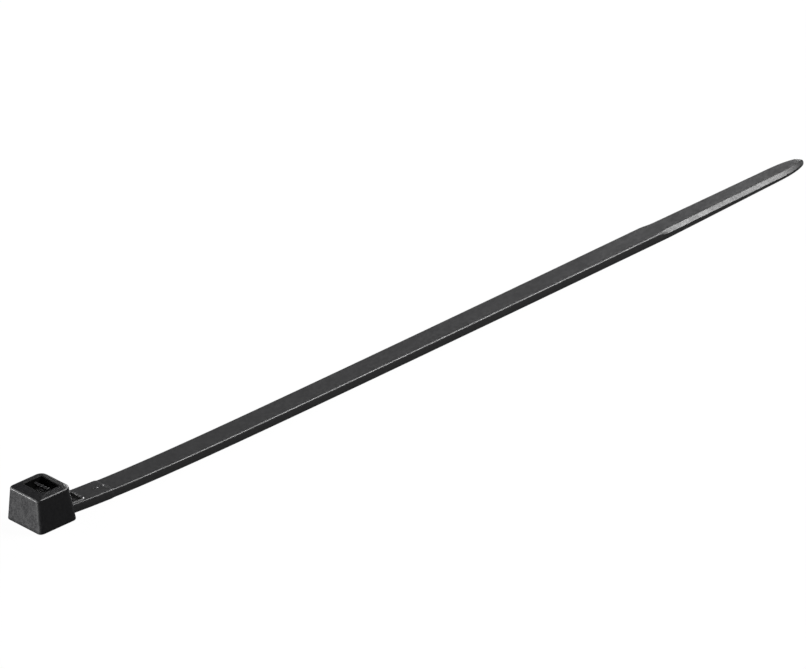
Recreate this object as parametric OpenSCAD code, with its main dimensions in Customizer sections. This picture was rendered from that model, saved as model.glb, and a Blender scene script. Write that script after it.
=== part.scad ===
// Cable tie: one nylon moulding with a locking head, a toothed strap and a smooth tail.
// Millimetres. +X runs along the strap from the head to the tip, +Z is the smooth outer face.
// The origin is on the underside, in the middle of the passage that the strap is threaded through.

/* [Tie] */
// Overall length, from the end face of the head to the tip
tie_length = 140; // [110:5:200]

/* [Strap] */
// Width of the strap
strap_w = 3.6; // [3.2:0.1:4.6]
// Thickness of the strap
strap_t = 1.25; // [1.1:0.05:1.5]
// Rounding of the long edges of the outer face
outer_edge_r = 0.26; // [0.1:0.02:0.36]
// Rounding of the long edges of the underside
under_edge_r = 0.14; // [0.06:0.02:0.24]

/* [Teeth] */
// Distance from one tooth to the next
tooth_pitch = 0.85; // [0.7:0.05:1.1]
// Height of a tooth from its root to its crest
tooth_depth = 0.36; // [0.24:0.02:0.46]
// Length of the flat along the top of each crest
tooth_crest = 0.14; // [0.06:0.02:0.24]
// Lean of the steep holding face, measured along the strap
tooth_lean = 0.08; // [0.02:0.02:0.14]
// Depth of the crests below the two side rails
tooth_recess = 0.06; // [0.02:0.02:0.14]
// Width of the smooth rail on each side of the teeth
rail_w = 0.43; // [0.3:0.01:0.56]
// Smooth length between the root pad and the first tooth
teeth_lead = 1.2; // [0.6:0.2:3]

/* [Tail] */
// Length of the smooth tail, from the last tooth to the tip
tail_l = 27; // [18:1:40]
// Width across the shoulders, where the sides start to curve in to the point
shoulder_w = 3.1; // [2.6:0.1:3.2]
// Length of the point, from the shoulders to the tip
point_l = 6; // [3:0.5:8]
// Radius of the nose at the very tip
nose_r = 0.3; // [0.2:0.05:0.4]
// Thickness of the tail at its tip
tail_t = 0.85; // [0.7:0.05:1]
// Bevel round the outer face of the tail
tail_bevel = 0.46; // [0.3:0.02:0.56]
// Largest share of the half width that the bevel takes where the point is narrow
bevel_share = 0.6; // [0.4:0.05:0.7]
// Length over which the edge rounding of the strap opens into the bevel of the tail
bevel_run = 2.6; // [1.4:0.2:5]

/* [Root] */
// Length of the thickened pad where the strap leaves the head
pad_l = 7; // [6.4:0.1:8]
// How much wider the pad is than the strap
pad_extra_w = 0.16; // [0.06:0.02:0.3]
// How much thicker the pad is than the strap
pad_extra_t = 0.08; // [0.04:0.02:0.2]
// Length of the ramp from the pad down to the strap
pad_ramp = 0.35; // [0.2:0.05:0.6]
// Length of the pocket in the pad, from the head to its far end
pocket_l = 2.4; // [1.6:0.1:2.8]
// Width of the pocket
pocket_w = 2.6; // [2.2:0.1:2.8]
// Corner radius of the pocket
pocket_corner_r = 0.35; // [0.2:0.05:1]
// Depth of the pocket below the pad
pocket_depth = 0.5; // [0.3:0.05:0.7]
// Width of the raised lip round the pocket
lip_w = 0.3; // [0.2:0.02:0.4]
// Height of the raised lip above the pad
lip_h = 0.12; // [0.06:0.02:0.2]
// Number of ribs across the floor of the pocket
pocket_ribs = 3; // [0:1:3]
// Distance from the head to the first pocket rib
pocket_rib_lead = 0.7; // [0.2:0.05:0.8]
// Distance from one pocket rib to the next
pocket_rib_pitch = 0.45; // [0.4:0.01:0.5]
// Width of each pocket rib
pocket_rib_w = 0.18; // [0.1:0.02:0.24]
// Height of each pocket rib above the floor of the pocket
pocket_rib_h = 0.25; // [0.1:0.05:0.3]
// Number of round pips that mark the mould cavity
pips = 2; // [1:1:2]
// Diameter of each pip
pip_d = 0.7; // [0.5:0.05:0.8]
// Distance from the middle of the last pip to the end of the pad
pip_lead = 0.7; // [0.6:0.05:1]
// Distance from one pip to the next
pip_pitch = 0.95; // [0.9:0.05:1.6]
// Height of the pips above the pad
pip_h = 0.1; // [0.06:0.02:0.16]

/* [Head] */
// Height of the head, up to the mouth of the slot
head_h = 4.9; // [4.4:0.1:5.8]
// How far the exit face rises from its edges to the mouth of the slot
crown_h = 0.2; // [0.05:0.05:0.4]
// Width of the level land round the mouth of the slot
land_w = 0.3; // [0.2:0.05:0.4]
// Wall between the passage and the end face, at the exit
end_wall = 1.7; // [1.4:0.1:2.6]
// Wall on each side of the slot, at the exit
side_wall = 1.13; // [0.9:0.01:1.5]
// Wall between the slot and the strap, at the exit
strap_wall = 0.94; // [0.8:0.02:1.4]
// How much further out the end face stands at the base than at the exit
end_draft = 0.37; // [0.1:0.01:0.5]
// How much further out each side face stands at the base
side_draft = 0.45; // [0.1:0.05:0.6]
// How much further out the strap face stands at the base
strap_draft = 0.2; // [0.1:0.02:0.6]
// Corner radius on the end face
end_corner_r = 0.7; // [0.4:0.05:1]
// Corner radius on the strap face, at the exit
strap_exit_r = 1.1; // [0.5:0.05:1.2]
// Corner radius on the strap face, at the base
strap_base_r = 0.75; // [0.5:0.05:1.2]
// Rounding of the edges round the exit face
top_edge_r = 0.3; // [0.1:0.02:0.36]
// Rounding of the edges round the base
base_edge_r = 0.15; // [0.05:0.05:0.25]

/* [Slot and pawl] */
// Clearance on each side of the threaded strap, across its width
side_clearance = 0.15; // [0.08:0.01:0.25]
// Clearance behind the threaded strap, across its thickness
back_clearance = 0.1; // [0.05:0.01:0.2]
// Room for the pawl and its swing, beyond the threaded strap
pawl_room = 1.68; // [1:0.02:1.8]
// How far the pawl teeth reach into the threaded strap
pawl_bite = 0.2; // [0.1:0.02:0.26]
// Number of teeth on the pawl
pawl_teeth = 3; // [2:1:3]
// Distance from the exit face down to the top of the pawl
pawl_setback = 0.15; // [0.1:0.05:0.9]
// Thickness of the pawl at its free end, teeth included
pawl_t = 0.9; // [0.8:0.05:0.95]
// Bevel along the top of the pawl, at the back
pawl_bevel = 0.5; // [0.1:0.05:0.6]
// Thickness of the living hinge that carries the pawl
hinge_t = 0.35; // [0.3:0.05:0.4]
// Length of the living hinge above the sill
hinge_h = 0.5; // [0.3:0.05:0.6]
// Height of the sill that the hinge grows from
sill_h = 0.55; // [0.4:0.05:0.7]
// Clearance on each side of the pawl to the rails of the strap
pawl_side_clearance = 0.07; // [0.04:0.01:0.12]
// Height of the lead-in at the base of the slot
leadin_h = 0.9; // [0.6:0.05:1.2]
// How far the lead-in opens the slot
leadin = 0.5; // [0.3:0.02:0.6]
// Chamfer round the exit of the slot
exit_chamfer = 0.14; // [0.06:0.02:0.2]

/* [Hidden] */
// Steps in each rounded edge, in each side of the point, and facets of the round corners
ARC_STEPS = 4;
POINT_STEPS = 8;
CORNER_FACETS = 32;
// Amount by which a cut runs past the face that it opens
PAST = 0.5;
// Thickness of the slices that a flared or tapered form is drawn between
SLICE = 0.02;
// Depth to which a form is drawn inside the one that it grows from
ROOTED = 0.3;
NYLON_BLACK = [0.09, 0.09, 0.095];

// Passage for the strap: its toothed side faces +X, where the pawl is
back_x = -strap_t / 2 - back_clearance;
teeth_x = strap_t / 2;
sill_x = teeth_x + back_clearance;
slot_end_x = teeth_x + pawl_room;
slot_w = strap_w + 2 * side_clearance;

// Head outline at the exit face and at the base
exit_x0 = back_x - end_wall;
exit_x1 = slot_end_x + strap_wall;
exit_half_w = slot_w / 2 + side_wall;
base_x0 = exit_x0 - end_draft;
base_x1 = exit_x1 + strap_draft;
base_half_w = exit_half_w + side_draft;

// Stations along the strap
tip_x = base_x0 + tie_length;
pad_end_x = base_x1 + pad_l;
shoulder_x = tip_x - point_l;
teeth_start_x = pad_end_x + teeth_lead;
tooth_count = floor((tip_x - tail_l - teeth_start_x) / tooth_pitch);
teeth_end_x = teeth_start_x + tooth_count * tooth_pitch;
bevel_x = teeth_end_x + bevel_run;

band_w = strap_w - 2 * rail_w;
crest_z = tooth_recess;
valley_z = tooth_recess + tooth_depth;
pad_w = strap_w + pad_extra_w;
pad_t = strap_t + pad_extra_t;

// Pawl: the crests and the valleys of its teeth, its back, its top and its hinge
pawl_w = band_w - 2 * pawl_side_clearance;
pawl_top_z = head_h - pawl_setback;
pawl_crest_x = teeth_x - pawl_bite;
pawl_valley_x = pawl_crest_x + tooth_depth;
pawl_back_x = pawl_crest_x + pawl_t;
hinge_back_x = sill_x + hinge_t;

// Points of an arc about a centre, from angle a0 to angle a1
function arc(cx, cy, r, a0, a1) =
    [for (i = [0:ARC_STEPS])
        let (a = a0 + (a1 - a0) * i / ARC_STEPS)
        [cx + r * cos(a), cy + r * sin(a)]];

// Half width of the tail: a straight taper to the shoulders, then an ellipse to the tip
function tail_half_w(x) =
    x < shoulder_x
        ? (strap_w + (shoulder_w - strap_w) * (x - teeth_end_x) / (shoulder_x - teeth_end_x)) / 2
        : shoulder_w / 2 * sqrt(1 - pow((x - shoulder_x) / point_l, 2));

// Level of the underside of the tail, which thins from below towards the tip
function tail_under_z(x) = (strap_t - tail_t) * (x - teeth_end_x) / (tip_x - teeth_end_x);

// Carries a section drawn in the YZ plane along +X
module along_x(x, length) {
    translate([x, 0, 0])
        rotate([90, 0, 90])
            linear_extrude(length) children();
}

// Carries a profile drawn in the XZ plane across the tie, centred on it
module across_y(width) {
    translate([0, width / 2, 0])
        rotate([90, 0, 0])
            linear_extrude(width) children();
}

// Section of the strap: flat faces with four rounded long edges
module strap_section(w, t) {
    polygon(concat(
        arc(w / 2 - under_edge_r, under_edge_r, under_edge_r, -90, 0),
        arc(w / 2 - outer_edge_r, t - outer_edge_r, outer_edge_r, 0, 90),
        arc(outer_edge_r - w / 2, t - outer_edge_r, outer_edge_r, 90, 180),
        arc(under_edge_r - w / 2, under_edge_r, under_edge_r, 180, 270)));
}

// Slice of the tail: rounded below, with a flat bevel above
module tail_slice(x) {
    half_w = tail_half_w(x);
    under_z = tail_under_z(x);
    bevel = min(tail_bevel, bevel_share * half_w);
    along_x(x, SLICE)
        polygon(concat(
            arc(half_w - under_edge_r, under_z + under_edge_r, under_edge_r, -90, 0),
            [[half_w, strap_t - bevel], [half_w - bevel, strap_t],
             [bevel - half_w, strap_t], [-half_w, strap_t - bevel]],
            arc(under_edge_r - half_w, under_z + under_edge_r, under_edge_r, 180, 270)));
}

// Tail: a short run where the bevel opens, a long straight taper and a curved, bevelled point
module tail() {
    hull() {
        along_x(teeth_end_x, SLICE) strap_section(strap_w, strap_t);
        tail_slice(bevel_x);
    }
    hull() {
        tail_slice(bevel_x);
        for (i = [0:POINT_STEPS - 1])
            tail_slice(shoulder_x + point_l * sin(90 * i / POINT_STEPS));
        nose();
    }
}

// Nose: a round end whose rim is bevelled like the edges of the tail
module nose() {
    nose_bevel = bevel_share * nose_r;
    under_z = strap_t - tail_t;
    translate([tip_x - nose_r, 0, 0])
        rotate_extrude($fn = CORNER_FACETS)
            polygon(concat(
                [[0, under_z]],
                arc(nose_r - under_edge_r, under_z + under_edge_r, under_edge_r, -90, 0),
                [[nose_r, strap_t - nose_bevel], [nose_r - nose_bevel, strap_t], [0, strap_t]]));
}

// Ratchet rack: the space cut away below the teeth. Each tooth has a steep holding face
// towards the head and a long ramp towards the tip, so the strap slides in and locks.
module rack_cut() {
    across_y(band_w)
        polygon(concat(
            [[teeth_start_x, -PAST]],
            [for (i = [0:tooth_count - 1])
                let (x = teeth_start_x + i * tooth_pitch)
                each [[x, valley_z],
                      [x + tooth_lean, crest_z],
                      [x + tooth_lean + tooth_crest, crest_z]]],
            [[teeth_end_x, valley_z], [teeth_end_x, -PAST]]));
}

// Root pad: the thicker, slightly wider start of the strap, with a ramp down to it
module root_pad() {
    root_x = base_x1 - ROOTED;
    intersection() {
        along_x(root_x, pad_end_x - root_x) strap_section(pad_w, pad_t);
        across_y(pad_w + PAST)
            polygon([[base_x1, base_edge_r], [base_x1, 0], [pad_end_x, 0], [pad_end_x, strap_t],
                     [pad_end_x - pad_ramp, pad_t], [root_x, pad_t]]);
    }
}

// Plan of the pocket beside the head, grown by a margin: a rectangle with two round corners
module pocket_plan(margin) {
    r = pocket_corner_r + margin;
    half_w = pocket_w / 2 + margin;
    length = pocket_l + margin + ROOTED;
    translate([base_x1 - ROOTED, 0]) {
        translate([0, -half_w]) square([length - r, 2 * half_w]);
        translate([0, r - half_w]) square([length, 2 * (half_w - r)]);
        for (side = [-1, 1])
            translate([length - r, side * (half_w - r)]) circle(r, $fn = CORNER_FACETS);
    }
}

// Raised lip that runs round the pocket
module pocket_lip() {
    translate([0, 0, pad_t - lip_h]) linear_extrude(2 * lip_h) pocket_plan(lip_w);
}

// Pocket cut into the pad, with its floor ribs left standing
module pocket_cut() {
    floor_z = pad_t - pocket_depth;
    difference() {
        translate([0, 0, floor_z]) linear_extrude(pocket_depth + PAST) pocket_plan(0);
        for (i = [0:pocket_ribs - 1])
            translate([base_x1 + pocket_rib_lead + i * pocket_rib_pitch, -pocket_w, floor_z - PAST])
                cube([pocket_rib_w, 2 * pocket_w, pocket_rib_h + PAST]);
    }
}

// Round pips on the pad, where a moulder marks the cavity
module cavity_pips() {
    for (i = [0:pips - 1])
        translate([pad_end_x - pip_lead - i * pip_pitch, 0, pad_t - pip_h])
            cylinder(h = 2 * pip_h, r = pip_d / 2, $fn = CORNER_FACETS);
}

// One round corner of the head: a disc with a rounded rim, upright or upside down
module corner_disc(x, y, z, r, edge_r, top) {
    h = 2 * edge_r;
    translate([x, y, top ? z - h : z + h])
        mirror([0, 0, top ? 0 : 1])
            rotate_extrude($fn = CORNER_FACETS)
                polygon(concat([[0, 0], [r, 0]], arc(r - edge_r, h - edge_r, edge_r, 0, 90), [[0, h]]));
}

// Outer form of the head: a drafted block with round corners and soft edges, whose exit face
// rises a little to a level land round the mouth of the slot
module head_block() {
    hull() {
        for (side = [-1, 1]) {
            corner_disc(exit_x0 + end_corner_r, side * (exit_half_w - end_corner_r),
                        head_h - crown_h, end_corner_r, top_edge_r, true);
            corner_disc(exit_x1 - strap_exit_r, side * (exit_half_w - strap_exit_r),
                        head_h - crown_h, strap_exit_r, top_edge_r, true);
            corner_disc(base_x0 + end_corner_r, side * (base_half_w - end_corner_r),
                        0, end_corner_r, base_edge_r, false);
            corner_disc(base_x1 - strap_base_r, side * (base_half_w - strap_base_r),
                        0, strap_base_r, base_edge_r, false);
        }
        translate([back_x - land_w, -slot_w / 2 - land_w, head_h - SLICE])
            cube([slot_end_x - back_x + 2 * land_w, slot_w + 2 * land_w, SLICE]);
    }
}

// Flared mouth: a rectangle at one level that opens by a margin on each side at another level
module flare(x0, x1, open_x0, open_x1, open_y, z, open_z) {
    hull() {
        translate([x0, -slot_w / 2, z]) cube([x1 - x0, slot_w, SLICE]);
        translate([x0 - open_x0, -slot_w / 2 - open_y, open_z])
            cube([x1 - x0 + open_x0 + open_x1, slot_w + 2 * open_y, SLICE]);
    }
}

// Slot through the head: the passage for the strap, the room behind the pawl above its sill,
// a lead-in at the base and a chamfer round the exit
module slot_cut() {
    across_y(slot_w)
        polygon([[back_x, -PAST], [back_x, head_h + PAST], [slot_end_x, head_h + PAST],
                 [slot_end_x, sill_h], [sill_x, sill_h], [sill_x, -PAST]]);
    flare(back_x, sill_x, leadin, 0, leadin / 2, leadin_h, -SLICE);
    flare(back_x, slot_end_x, exit_chamfer, exit_chamfer, exit_chamfer,
          head_h - exit_chamfer - SLICE, head_h);
}

// Pawl: a living hinge on the sill, a stiff body and ratchet teeth that face the passage.
// Their steep holding faces look up, and their ramps look down to the strap as it comes in.
module pawl() {
    across_y(pawl_w)
        polygon(concat(
            [[hinge_back_x, sill_h - ROOTED], [sill_x, sill_h - ROOTED], [sill_x, sill_h]],
            [for (i = [pawl_teeth - 1:-1:0])
                let (z = pawl_top_z - i * tooth_pitch)
                each [[pawl_valley_x, z - tooth_pitch + tooth_lean],
                      [pawl_crest_x, z - tooth_crest],
                      [pawl_crest_x, z]]],
            [[pawl_back_x - pawl_bevel, pawl_top_z], [pawl_back_x, pawl_top_z - pawl_bevel],
             [pawl_back_x, sill_h + 2 * hinge_h], [hinge_back_x, sill_h + hinge_h]]));
}

// Head: the drafted block with the slot through it and the pawl standing in the slot
module head() {
    color(NYLON_BLACK) {
        difference() {
            head_block();
            slot_cut();
        }
        pawl();
    }
}

// Strap: pad, toothed length and tail. It grows out of the strap face of the head, so the
// two meet face to face there.
module strap() {
    color(NYLON_BLACK)
        difference() {
            union() {
                root_pad();
                pocket_lip();
                along_x(base_x1, teeth_end_x - base_x1) strap_section(strap_w, strap_t);
                tail();
                cavity_pips();
            }
            rack_cut();
            pocket_cut();
            head_block();
        }
}

head();
strap();
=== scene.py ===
import bpy
import math
import numpy as np
from mathutils import Matrix, Vector


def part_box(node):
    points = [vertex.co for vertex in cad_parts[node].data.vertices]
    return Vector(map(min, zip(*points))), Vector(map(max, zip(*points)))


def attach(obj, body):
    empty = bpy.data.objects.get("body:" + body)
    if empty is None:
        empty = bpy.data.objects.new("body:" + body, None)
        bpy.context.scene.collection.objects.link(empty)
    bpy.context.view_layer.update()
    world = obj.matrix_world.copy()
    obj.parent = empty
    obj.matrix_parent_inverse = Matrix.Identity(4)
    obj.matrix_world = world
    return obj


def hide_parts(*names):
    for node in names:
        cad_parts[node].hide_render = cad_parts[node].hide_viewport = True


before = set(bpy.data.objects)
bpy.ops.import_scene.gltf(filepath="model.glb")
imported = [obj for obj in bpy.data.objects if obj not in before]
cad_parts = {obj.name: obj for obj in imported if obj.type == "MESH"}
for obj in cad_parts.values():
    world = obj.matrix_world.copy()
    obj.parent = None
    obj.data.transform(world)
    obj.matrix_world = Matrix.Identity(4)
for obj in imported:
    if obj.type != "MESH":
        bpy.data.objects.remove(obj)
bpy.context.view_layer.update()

# Head of the tie: a drafted block of black nylon 6/6 with the strap's passage moulded through
# it. It comes out of the same shot as the strap, with fine spark-eroded grain on its faces and
# softly rounded edges.
MM = 0.001
head_low, head_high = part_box("head")
HEAD_H = head_high.z
BASE = (head_low.x, head_high.x, head_high.y)
END_DRAFT, SIDE_DRAFT, STRAP_DRAFT = 0.37 * MM, 0.45 * MM, 0.20 * MM
EXIT = (BASE[0] + END_DRAFT, BASE[1] - STRAP_DRAFT, BASE[2] - SIDE_DRAFT)
END_CORNER_R, STRAP_BASE_R, STRAP_EXIT_R = 0.70 * MM, 0.75 * MM, 1.10 * MM
TOP_EDGE_R, BASE_EDGE_R = 0.30 * MM, 0.15 * MM
CROWN_H, LAND_W = 0.20 * MM, 0.30 * MM
SLOT_BACK, SLOT_SILL, SLOT_END = -0.725 * MM, 0.725 * MM, 2.305 * MM
SLOT_HALF_W = 1.95 * MM
SILL_H = 0.55 * MM
LEADIN_H, LEADIN = 0.90 * MM, 0.50 * MM
EXIT_CHAMFER = 0.14 * MM
SLOT_CORNER_R = 0.06 * MM


class Value:
    """A number or a colour inside a material. Arithmetic on it adds Math nodes to the tree, and
    node() adds any other node from its type, its settings and the values of its sockets."""

    def __init__(self, tree, socket=None):
        self.tree = tree
        self.socket = socket

    def node(self, kind, settings, sockets, output=0):
        made = self.tree.nodes.new(kind)
        for name, setting in settings.items():
            setattr(made, name, setting)
        for name, value in sockets.items():
            if isinstance(value, Value):
                self.tree.links.new(value.socket, made.inputs[name])
            else:
                made.inputs[name].default_value = value
        return Value(self.tree, made.outputs[output] if made.outputs else None)

    def math(self, operation, first, second):
        return self.node("ShaderNodeMath", {"operation": operation}, {0: first, 1: second})

    def __add__(self, other):
        return self.math("ADD", self, other)

    def __sub__(self, other):
        return self.math("SUBTRACT", self, other)

    def __rsub__(self, other):
        return self.math("SUBTRACT", other, self)

    def __mul__(self, other):
        return self.math("MULTIPLY", self, other)

    def ramp(self, low, high):
        """0 below the first number, 1 above the second, and an S curve between them."""
        return self.node("ShaderNodeMapRange", {"interpolation_type": "SMOOTHSTEP"},
                         {"Value": self, "From Min": low, "From Max": high})


def in_the_passage(place):
    """1 in the passage and on its chamfered mouth, which are painted near-black as shade, 0 on the
    outer faces of the head.
    """
    x = place.node("ShaderNodeSeparateXYZ", {}, {"Vector": place}, "X")
    y = place.node("ShaderNodeSeparateXYZ", {}, {"Vector": place}, "Y")
    from_middle = place.math("ABSOLUTE", y, 0.0)
    edge, fade = EXIT_CHAMFER + 0.01 * MM, 0.03 * MM
    beside = from_middle.ramp(SLOT_HALF_W + edge, SLOT_HALF_W + edge + fade)
    after = x.ramp(SLOT_BACK - edge - fade, SLOT_BACK - edge)
    before = 1 - x.ramp(SLOT_END + edge, SLOT_END + edge + fade)
    return (1 - beside) * after * before


def nylon(name, dark, pale, rough_low, rough_high, grain_depth, streaks, shade_the_passage=False):
    """Black nylon as it leaves the mould. Its colour drifts between dark and pale over clouds of a
    few millimetres and mottles of a third of one, and its roughness drifts with them. The grain is
    three sizes of noise, and streaks is the share of fine draw marks that run the way the mould
    opens. A passage through the piece is painted nearly black as painted shade, and its chamfer is
    rougher."""
    material = bpy.data.materials.new(name)
    material.use_nodes = True
    tree = material.node_tree
    tree.nodes.clear()
    start = Value(tree)
    place = start.node("ShaderNodeTexCoord", {}, {}, "Object")
    clouds = start.node("ShaderNodeTexNoise", {}, {"Vector": place, "Scale": 420.0, "Detail": 3.0})
    mottles = start.node("ShaderNodeTexNoise", {}, {"Vector": place, "Scale": 2800.0, "Detail": 2.0})
    grain = start.node("ShaderNodeTexNoise", {}, {"Vector": place, "Scale": 9000.0, "Detail": 2.0})
    drawn = start.node("ShaderNodeMapping", {}, {"Vector": place, "Scale": (1.0, 1.0, 0.12)})
    marks = start.node("ShaderNodeTexNoise", {}, {"Vector": drawn, "Scale": 3600.0, "Detail": 2.0})
    tone = clouds.ramp(0.36, 0.66) * 0.5 + mottles.ramp(0.38, 0.62) * 0.5
    colour = start.node("ShaderNodeMix", {"data_type": "RGBA"},
                        {"Factor": tone, 6: (*dark, 1.0), 7: (*pale, 1.0)}, 2)
    drift = (1 - clouds.ramp(0.3, 0.7)) * 0.5 + mottles.ramp(0.35, 0.65) * 0.5
    rough = drift * (rough_high - rough_low) + rough_low
    if shade_the_passage:
        # The passage and its mouth are painted near-black: painted shade in the recess.
        shaded_passage = in_the_passage(place)
        colour = start.node("ShaderNodeMix", {"data_type": "RGBA"},
                            {"Factor": shaded_passage, 6: colour, 7: (0.002, 0.002, 0.002, 1.0)}, 2)
        z = start.node("ShaderNodeSeparateXYZ", {}, {"Vector": place}, "Z")
        mouth_z = HEAD_H - EXIT_CHAMFER
        rough = rough + shaded_passage * z.ramp(mouth_z - 0.03 * MM, mouth_z) * 0.4
    height = mottles * 0.5 + grain * 0.35 + marks * streaks
    bump = start.node("ShaderNodeBump", {}, {"Strength": 0.8, "Distance": grain_depth,
                                             "Height": height})
    surface = start.node("ShaderNodeBsdfPrincipled", {},
                         {"Base Color": colour, "Roughness": rough, "Normal": bump, "IOR": 1.53})
    start.node("ShaderNodeOutputMaterial", {}, {"Surface": surface})
    return material


def rounded_plan(x0, x1, half_w, end_r, strap_r, per_corner=9, per_side=10):
    """Closed outline of a rectangle with round corners, counter-clockwise from the strap side,
    with as many points at each corner and on each side whatever its size. Returns two arrays."""
    quarter = np.linspace(0, np.pi / 2, per_corner)
    run = np.linspace(0, 1, per_side + 2)[1:-1]
    centres = [(x1 - strap_r, half_w - strap_r, strap_r), (x0 + end_r, half_w - end_r, end_r),
               (x0 + end_r, end_r - half_w, end_r), (x1 - strap_r, strap_r - half_w, strap_r)]
    arcs = [np.stack([cx + r * np.cos(quarter + i * np.pi / 2),
                      cy + r * np.sin(quarter + i * np.pi / 2)], 1)
            for i, (cx, cy, r) in enumerate(centres)]
    sides = [a[-1] + (b[0] - a[-1]) * run[:, None] for a, b in zip(arcs, arcs[1:] + arcs[:1])]
    return np.concatenate([part for pair in zip(arcs, sides) for part in pair])


def mesh_from_grid(name, points, close_rows=False, close_columns=False, caps=False):
    """Mesh of a grid of points, rows by columns by 3. Each cell is a quad. Rows, columns or both
    may join up to their starts, and caps closes the first and the last row with one face each."""
    rows, columns = points.shape[:2]
    index = np.arange(rows * columns).reshape(rows, columns)
    if close_rows:
        index = np.concatenate([index, index[:1]])
    if close_columns:
        index = np.concatenate([index, index[:, :1]], 1)
    quads = np.stack([index[:-1, :-1], index[:-1, 1:], index[1:, 1:], index[1:, :-1]], -1)
    faces = quads.reshape(-1, 4).tolist()
    if caps:
        faces += [index[0, :columns][::-1].tolist(), index[-1, :columns].tolist()]
    mesh = bpy.data.meshes.new(name)
    mesh.from_pydata(points.reshape(-1, 3).tolist(), [], faces)
    return mesh


def add_piece(name, mesh, material, sharp_over):
    """Puts a mesh into the scene as a piece of the tie. Faces are smooth where they meet at less
    than an angle in degrees."""
    mesh.materials.append(material)
    mesh.shade_smooth()
    mesh.set_sharp_from_angle(angle=math.radians(sharp_over))
    mesh.validate()
    piece = bpy.data.objects.new(name, mesh)
    bpy.context.scene.collection.objects.link(piece)
    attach(piece, "root")
    return piece


def ring(outline, z):
    """An outline lifted to a height."""
    return np.concatenate([outline, np.full((len(outline), 1), z)], 1)


def outer_ring(up, inset, z):
    """Outline of the head at a share of its height, drawn in by an inset."""
    x0, x1, half_w = (b + (e - b) * up for b, e in zip(BASE, EXIT))
    strap_r = STRAP_BASE_R + (STRAP_EXIT_R - STRAP_BASE_R) * up
    return ring(rounded_plan(x0 + inset, x1 - inset, half_w - inset, END_CORNER_R - inset,
                             strap_r - inset), z)


def slot_ring(x0, x1, grow, z):
    """Outline of the slot between two walls, opened by a margin across the strap."""
    return ring(rounded_plan(x0, x1, SLOT_HALF_W + grow, SLOT_CORNER_R, SLOT_CORNER_R), z)


def head_shell():
    """One closed skin: up the outer walls, round the top edge, up the crown of the exit face to
    the land round the slot, down the slot past its sill to the lead-in, across the base and
    round the base edge to the start."""
    turn = np.linspace(0, np.pi / 2, 7)
    base_edge = [outer_ring(0, BASE_EDGE_R * (1 - np.sin(a)), BASE_EDGE_R * (1 - np.cos(a)))
                 for a in turn]
    edge_h = HEAD_H - CROWN_H
    walls = [outer_ring(up, 0, BASE_EDGE_R + up * (edge_h - BASE_EDGE_R - TOP_EDGE_R))
             for up in np.linspace(0, 1, 14)[1:-1]]
    top_edge = [outer_ring(1, TOP_EDGE_R * (1 - np.cos(a)), edge_h - TOP_EDGE_R * (1 - np.sin(a)))
                for a in turn[:-1]]
    land = ring(rounded_plan(SLOT_BACK - LAND_W, SLOT_END + LAND_W, SLOT_HALF_W + LAND_W,
                             LAND_W, LAND_W), HEAD_H)
    crown = [top_edge[-1] + (land - top_edge[-1]) * t for t in np.linspace(0, 1, 8)[1:]]
    mouth = slot_ring(SLOT_BACK - EXIT_CHAMFER, SLOT_END + EXIT_CHAMFER, EXIT_CHAMFER, HEAD_H)
    exit_face = crown + [land + (mouth - land) * share for share in (0.9, 1.0)]
    slot_walls = [slot_ring(SLOT_BACK, SLOT_END, 0, z)
                  for z in np.linspace(HEAD_H - EXIT_CHAMFER, LEADIN_H, 6)]
    sill_share = 1 - SILL_H / LEADIN_H
    sill_back, sill_grow = SLOT_BACK - LEADIN * sill_share, LEADIN / 2 * sill_share
    sill = [slot_ring(sill_back, SLOT_END, sill_grow, SILL_H),
            slot_ring(sill_back, SLOT_SILL, sill_grow, SILL_H)]
    entry = slot_ring(SLOT_BACK - LEADIN, SLOT_SILL, LEADIN / 2, 0.0)
    base_face = [entry + (base_edge[0] - entry) * share for share in (0.0, 0.03, 0.5)]
    rows = base_edge + walls + top_edge + exit_face + slot_walls + sill + base_face
    return np.array(rows)


# The head is painted far darker than the strap, though both are one nylon: painted shade on the
# head's faces.
shaded_head_nylon = nylon("shaded_head_nylon", (0.006, 0.006, 0.007), (0.009, 0.009, 0.010),
                   0.34, 0.50, 0.016 * MM, 0.6, shade_the_passage=True)
head_mesh = mesh_from_grid("head_shell", head_shell(), close_rows=True, close_columns=True)
head = add_piece("head_shell", head_mesh, shaded_head_nylon, 32)
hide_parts("head")

# Pawl: the springy tongue that locks the strap. It grows from the sill at the foot of the slot
# on a thin living hinge, in the same nylon, and its three teeth have the pitch of the rack.
TOOTH_PITCH, TOOTH_DEPTH = 0.85 * MM, 0.36 * MM
TOOTH_CREST, TOOTH_LEAN = 0.14 * MM, 0.08 * MM
PAWL_TEETH = 3
PAWL_TOP = HEAD_H - 0.15 * MM
PAWL_CREST_X = 0.425 * MM
PAWL_T, PAWL_BEVEL = 0.90 * MM, 0.50 * MM
HINGE_T, HINGE_H = 0.35 * MM, 0.50 * MM
PAWL_HALF_W = 1.30 * MM
PAWL_EDGE_R = 0.05 * MM


def pawl_profile():
    """Side view of the pawl, counter-clockwise from the back of its hinge: down into the sill,
    up the teeth, over the top with its bevel and down the back. Two arrays, x and z."""
    points = [(SLOT_SILL + HINGE_T, SILL_H - 0.2 * MM), (SLOT_SILL, SILL_H - 0.2 * MM)]
    for i in range(PAWL_TEETH - 1, -1, -1):
        z = PAWL_TOP - i * TOOTH_PITCH
        points += [(PAWL_CREST_X + TOOTH_DEPTH, z - TOOTH_PITCH + TOOTH_LEAN),
                   (PAWL_CREST_X, z - TOOTH_CREST), (PAWL_CREST_X, z)]
    back = PAWL_CREST_X + PAWL_T
    points += [(back - PAWL_BEVEL, PAWL_TOP), (back, PAWL_TOP - PAWL_BEVEL),
               (back, SILL_H + 2 * HINGE_H), (SLOT_SILL + HINGE_T, SILL_H + HINGE_H)]
    return np.array(points)


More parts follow.
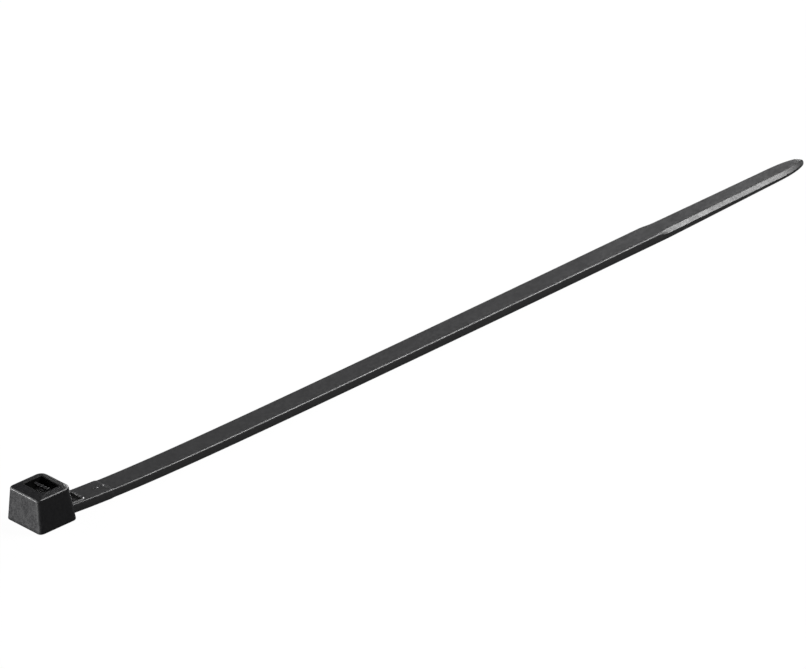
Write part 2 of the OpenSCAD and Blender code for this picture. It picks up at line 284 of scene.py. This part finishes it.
def pawl_grid():
    """The profile carried across the slot, one row for each place across it."""
    profile = pawl_profile()
    across = np.array([-1, 1]) * PAWL_HALF_W
    x, y = np.broadcast_arrays(profile[None, :, 0], across[:, None])
    z = np.broadcast_to(profile[None, :, 1], x.shape)
    return np.stack([x, y, z], -1)


pawl_mesh = mesh_from_grid("pawl", pawl_grid(), close_columns=True, caps=True)
# The pawl takes the head's darker colours: painted shade, as on the head.
shaded_pawl_nylon = nylon("shaded_pawl_nylon", (0.006, 0.006, 0.007), (0.009, 0.009, 0.010),
                   0.34, 0.50, 0.010 * MM, 0.2)
pawl = add_piece("pawl", pawl_mesh, shaded_pawl_nylon, 32)
softened = pawl.modifiers.new("softened edges", "BEVEL")
softened.width = PAWL_EDGE_R
softened.segments = 2
softened.limit_method = "ANGLE"
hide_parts("head")

# Strap: a band that leaves the head through a thicker root pad with a small pocket, then runs
# on with a smooth outer face and the ratchet rack on its underside, to a smooth bevelled tail.
# It has relaxed a little to one side since it was moulded.
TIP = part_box("strap")[1].x
ROOT = head_high.x
STRAP_HALF_W, STRAP_T = 1.80 * MM, 1.25 * MM
OUTER_EDGE_R, UNDER_EDGE_R = 0.26 * MM, 0.14 * MM
RAIL_W, TOOTH_RECESS = 0.43 * MM, 0.06 * MM
PAD_L, PAD_RAMP = 7.00 * MM, 0.60 * MM
PAD_EXTRA_W, PAD_EXTRA_T = 0.08 * MM, 0.08 * MM
TEETH_LEAD, TAIL_L = 1.20 * MM, 27.0 * MM
POCKET_L, POCKET_HALF_W, POCKET_DEPTH = 2.40 * MM, 1.30 * MM, 0.50 * MM
POCKET_CORNER_R = 0.35 * MM
LIP_W, LIP_H = 0.30 * MM, 0.12 * MM
RIB_LEAD, RIB_PITCH, RIB_W, RIB_H = 0.70 * MM, 0.45 * MM, 0.18 * MM, 0.25 * MM
RIB_COUNT, RIB_SLOPE, POCKET_SLOPE = 3, 0.07 * MM, 0.12 * MM
PIP_R, PIP_LEAD, PIP_PITCH, PIP_H = 0.35 * MM, 0.70 * MM, 0.95 * MM, 0.10 * MM
SHOULDER_HALF_W, POINT_L = 1.55 * MM, 6.00 * MM
TAIL_T, TAIL_BEVEL, BEVEL_SHARE, BEVEL_RUN = 0.85 * MM, 0.46 * MM, 0.60, 2.60 * MM
BEVEL_LEAD, NOSE_RUN, NOSE_DROP = 2.40 * MM, 1.40 * MM, 0.40 * MM
ROOTED, SLIVER = 0.50 * MM, 0.002 * MM
KINK, KINK_REACH = 1.610 * MM, 10.71 * MM
LEAN, BEND_BACK = 0.01531, -0.0652

pad_end = ROOT + PAD_L
teeth_start = pad_end + TEETH_LEAD
tooth_count = int((TIP - TAIL_L - teeth_start) / TOOTH_PITCH + 1e-6)
teeth_end = teeth_start + tooth_count * TOOTH_PITCH
shoulder = TIP - POINT_L


def smooth(value, low, high):
    """0 below low, 1 above high, and an S curve between them."""
    t = np.clip((value - low) / (high - low), 0, 1)
    return t * t * (3 - 2 * t)


def stations():
    """Distances along the tie at which the section is drawn: close together over the pocket and
    the pips, four to each tooth of the rack, and closing up towards the tip."""
    step = 0.06 * MM
    root = np.arange(ROOT - ROOTED, teeth_start - step / 2, step)
    tooth = np.array([0.0, TOOTH_LEAN, TOOTH_LEAN + TOOTH_CREST, TOOTH_PITCH - 2 * SLIVER])
    rack = (teeth_start + TOOTH_PITCH * np.arange(tooth_count)[:, None] + tooth).ravel()
    tail = np.linspace(teeth_end, shoulder, 60)
    point = TIP - POINT_L * (1 - np.sin(np.linspace(0, np.pi / 2, 40)))
    return np.concatenate([root, rack, tail, point[1:-1], [TIP - SLIVER]])


def rack_depth(x):
    """Depth of the rack above the underside: a steep rise from each valley to a short crest,
    then a long ramp down to the next valley. It is 0 beyond the rack."""
    along = (x - teeth_start) % TOOTH_PITCH
    ramp = (along - TOOTH_LEAN - TOOTH_CREST) / (TOOTH_PITCH - TOOTH_LEAN - TOOTH_CREST)
    valley = np.where(along < TOOTH_LEAN, 1 - along / TOOTH_LEAN, np.clip(ramp, 0, 1))
    inside = (x > teeth_start - 1e-6) & (x < teeth_end - SLIVER)
    return np.where(inside, TOOTH_RECESS + TOOTH_DEPTH * valley, 0)


def outer_relief(x, y, pad):
    """Height of the outer face above the plain strap: the pad, the lip and the pocket beside the
    head with its floor ribs, and the round pips near the end of the pad."""
    past_x = x - ROOT - POCKET_L + POCKET_CORNER_R
    past_y = np.abs(y) - POCKET_HALF_W + POCKET_CORNER_R
    outline = np.hypot(np.clip(past_x, 0, None), np.clip(past_y, 0, None)) - POCKET_CORNER_R
    outline = np.where((past_x < 0) & (past_y < 0), np.maximum(past_x, past_y) - POCKET_CORNER_R,
                       outline)
    lip = LIP_H * (1 - smooth(outline, LIP_W - 0.16 * MM, LIP_W + 0.06 * MM))
    inside = 1 - smooth(outline, -POCKET_SLOPE, 0.0)
    along_ribs = (x - ROOT - RIB_LEAD) % RIB_PITCH
    rib = RIB_H * (1 - smooth(np.abs(along_ribs - RIB_W / 2), RIB_W / 2, RIB_W / 2 + RIB_SLOPE))
    first_rib = ROOT + RIB_LEAD
    ribbed = (x > first_rib - 0.1 * MM) & (x < first_rib + RIB_COUNT * RIB_PITCH)
    rib = np.where(ribbed, rib, 0)
    pocket = inside * (POCKET_DEPTH + LIP_H - rib)
    pips = sum(PIP_H * (1 - smooth(np.hypot(x - pad_end + PIP_LEAD + i * PIP_PITCH, y),
                                   PIP_R - 0.14 * MM, PIP_R + 0.04 * MM)) for i in range(2))
    return pad * PAD_EXTRA_T + np.where(x < pad_end, lip - pocket, 0) + pips


def strap_grid():
    """Section of the strap carried along the tie. Round the section come the underside with its
    two rails and the band of teeth, the edge rounding, the side, the outer edge and the outer
    face. The outer edge turns from an arc into a flat bevel along the tail, where the width
    tapers and the underside rises, and the outer face drops at the nose. Each section is
    shifted sideways by the bend of the strap."""
    x = stations()[:, None]
    pad = 1 - smooth(x, pad_end - PAD_RAMP, pad_end)
    taper = np.clip((x - teeth_end) / (shoulder - teeth_end), 0, 1)
    half_w = STRAP_HALF_W + pad * PAD_EXTRA_W + (SHOULDER_HALF_W - STRAP_HALF_W) * taper
    point = np.clip((x - shoulder) / (TIP - shoulder), 0, 1)
    half_w = half_w * np.sqrt(np.clip(1 - point ** 2, 0, 1)) + SLIVER
    under = (STRAP_T - TAIL_T) * np.clip((x - teeth_end) / (TIP - teeth_end), 0, 1)
    bevelled = smooth(x, teeth_end - BEVEL_LEAD, teeth_end - BEVEL_LEAD + BEVEL_RUN)
    edge = OUTER_EDGE_R + (TAIL_BEVEL - OUTER_EDGE_R) * bevelled
    edge = np.minimum(edge, BEVEL_SHARE * half_w)
    under_r = np.minimum(UNDER_EDGE_R, 0.3 * half_w)

    turn = np.linspace(0, np.pi / 2, 7)[None, :]
    band = STRAP_HALF_W - RAIL_W
    band_share = np.minimum(band, 0.7 * half_w)
    columns = np.linspace(-1, 1, 7)[None, :]
    teeth_y = np.concatenate([-band_share - 0.01 * MM, columns * band_share,
                              band_share + 0.01 * MM], 1)
    teeth_z = under + np.concatenate([0 * x, rack_depth(x) + 0 * columns, 0 * x], 1)
    lower_y = half_w - under_r + under_r * np.sin(turn)
    lower_z = under + under_r - under_r * np.cos(turn)
    arc_y, arc_z = 1 - np.cos(turn), np.sin(turn)
    flat = turn / (np.pi / 2)
    upper_y = half_w - edge * (arc_y + (flat - arc_y) * bevelled)
    upper_z = STRAP_T - edge + edge * (arc_z + (flat - arc_z) * bevelled)
    face_y = (half_w - edge) * np.linspace(1, -1, 46)[None, 1:-1]
    nose = NOSE_DROP * np.clip(1 - (TIP - x) / NOSE_RUN, 0, None) ** 2
    face_z = STRAP_T + outer_relief(x, face_y, pad) - nose
    upper_z = upper_z + pad * PAD_EXTRA_T - nose
    y = np.concatenate([teeth_y, lower_y, upper_y, face_y, -upper_y[:, ::-1],
                        -lower_y[:, ::-1]], 1)
    z = np.concatenate([teeth_z, lower_z, upper_z, face_z, upper_z[:, ::-1],
                        lower_z[:, ::-1]], 1)
    run = np.clip(x - ROOT, 0, None)
    bend = LEAN * run - KINK * (1 - np.exp(-run / KINK_REACH)) - BEND_BACK * run * run
    return np.stack([x + 0 * y, y + bend, z], -1)


# The strap is painted several times paler than the head, though both are one nylon: painted light on
# the strap's faces.
lit_strap_nylon = nylon("lit_strap_nylon", (0.031, 0.031, 0.032), (0.038, 0.038, 0.039),
                    0.30, 0.44, 0.011 * MM, 0.1)
strap_mesh = mesh_from_grid("strap_band", strap_grid(), close_columns=True, caps=True)
strap = add_piece("strap_band", strap_mesh, lit_strap_nylon, 24)
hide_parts("strap")

# Floor: a plain white sweep. To the camera it is white but for the shadow that the tie throws on it.
# To everything else it is a dark grey card, painted shade that darkens what the tie's faces reflect.
FLOOR_HALF = 1.6
FLOOR_Z = -0.01 * MM
floor_mesh = mesh_from_grid("floor", np.array([
    [(-FLOOR_HALF, -FLOOR_HALF, FLOOR_Z), (FLOOR_HALF, -FLOOR_HALF, FLOOR_Z)],
    [(-FLOOR_HALF, FLOOR_HALF, FLOOR_Z), (FLOOR_HALF, FLOOR_HALF, FLOOR_Z)]]))
floor_card = bpy.data.materials.new("floor_card")
floor_card.use_nodes = True
floor_card.node_tree.nodes.clear()
card = Value(floor_card.node_tree)
seen = card.node("ShaderNodeLightPath", {}, {}, "Is Camera Ray") * 0.70
# The card's grey of 0.10, seen only in reflections, is painted shade.
shaded_card = card.node("ShaderNodeBsdfDiffuse", {}, {"Color": (0.10, 0.10, 0.10, 1.0)})
lit = card.node("ShaderNodeEmission", {}, {"Color": (1.0, 1.0, 1.0, 1.0), "Strength": 1.39})
both = card.node("ShaderNodeMixShader", {}, {"Fac": seen, 1: shaded_card, 2: lit})
card.node("ShaderNodeOutputMaterial", {}, {"Surface": both})
floor_mesh.materials.append(floor_card)
floor = bpy.data.objects.new("floor", floor_mesh)
bpy.context.scene.collection.objects.link(floor)

# World: white behind the floor's far edge, and a soft grey glow on the tie from all round.
world = bpy.data.worlds.new("studio")
bpy.context.scene.world = world
world.use_nodes = True
world.node_tree.nodes.clear()
air = Value(world.node_tree)
WORLD_FILL = 0.03
strength = air.node("ShaderNodeLightPath", {}, {}, "Is Camera Ray") * (1 - WORLD_FILL) + WORLD_FILL
glow = air.node("ShaderNodeBackground", {}, {"Color": (1.0, 1.0, 1.0, 1.0), "Strength": strength})
air.node("ShaderNodeOutputWorld", {}, {"Surface": glow})


# Lamps: two low cards to the left and one above them that light the end of the head and its
# edges, a strip at the front right that draws the bright line along the near edge of the
# strap, and a small lamp off to the right of the tip.
def softbox(name, place, aim, width, height, watts):
    """A rectangular area lamp at a place, facing a point."""
    lamp = bpy.data.lights.new(name, "AREA")
    lamp.shape = "RECTANGLE"
    lamp.size = width
    lamp.size_y = height
    lamp.energy = watts
    box = bpy.data.objects.new(name, lamp)
    box.location = place
    box.rotation_euler = (Vector(aim) - Vector(place)).to_track_quat("-Z", "Y").to_euler()
    bpy.context.scene.collection.objects.link(box)


MIDDLE = (0.067, 0.0, 0.0)
softbox("left card", (-0.915, 0.160, 0.061), MIDDLE, 0.65, 0.09, 12.5)
softbox("back left card", (-0.618, 0.726, 0.066), MIDDLE, 0.50, 0.10, 7.2)
softbox("back card", (-0.392, 0.678, 0.569), MIDDLE, 0.40, 0.25, 2.4)
softbox("edge strip", (0.645, -0.405, 0.709), MIDDLE, 0.55, 0.20, 10.8)
softbox("tip glow", (0.544, 0.206, 0.179), MIDDLE, 0.16, 0.16, 1.8)

# Camera: a long lens from the front left, a little above the bench.
AZIMUTH, ELEVATION, ROLL = (math.radians(a) for a in (39.914, 27.148, -3.496))
FRAME_W, FRAME_H = 806, 669
FOCAL_PX = 8015.0
ORIGIN_PX = (40.220, 519.632)
DISTANCE = 1.02570

view = Vector((math.sin(AZIMUTH) * math.cos(ELEVATION), math.cos(AZIMUTH) * math.cos(ELEVATION),
               -math.sin(ELEVATION)))
level = Vector((math.cos(AZIMUTH), -math.sin(AZIMUTH), 0.0))
upright = level.cross(view)
right = math.cos(ROLL) * level + math.sin(ROLL) * upright
up = math.cos(ROLL) * upright - math.sin(ROLL) * level
across = (ORIGIN_PX[0] - FRAME_W / 2) / FOCAL_PX * DISTANCE
above = (FRAME_H / 2 - ORIGIN_PX[1]) / FOCAL_PX * DISTANCE
lens = bpy.data.cameras.new("camera")
lens.sensor_width = 36.0
lens.lens = FOCAL_PX / FRAME_W * lens.sensor_width
camera = bpy.data.objects.new("camera", lens)
turned = Matrix((right, up, -view)).transposed().to_4x4()
camera.matrix_world = Matrix.Translation(-DISTANCE * view - across * right - above * up) @ turned
bpy.context.scene.collection.objects.link(camera)
bpy.context.scene.camera = camera
bpy.context.scene.view_settings.view_transform = "Standard"
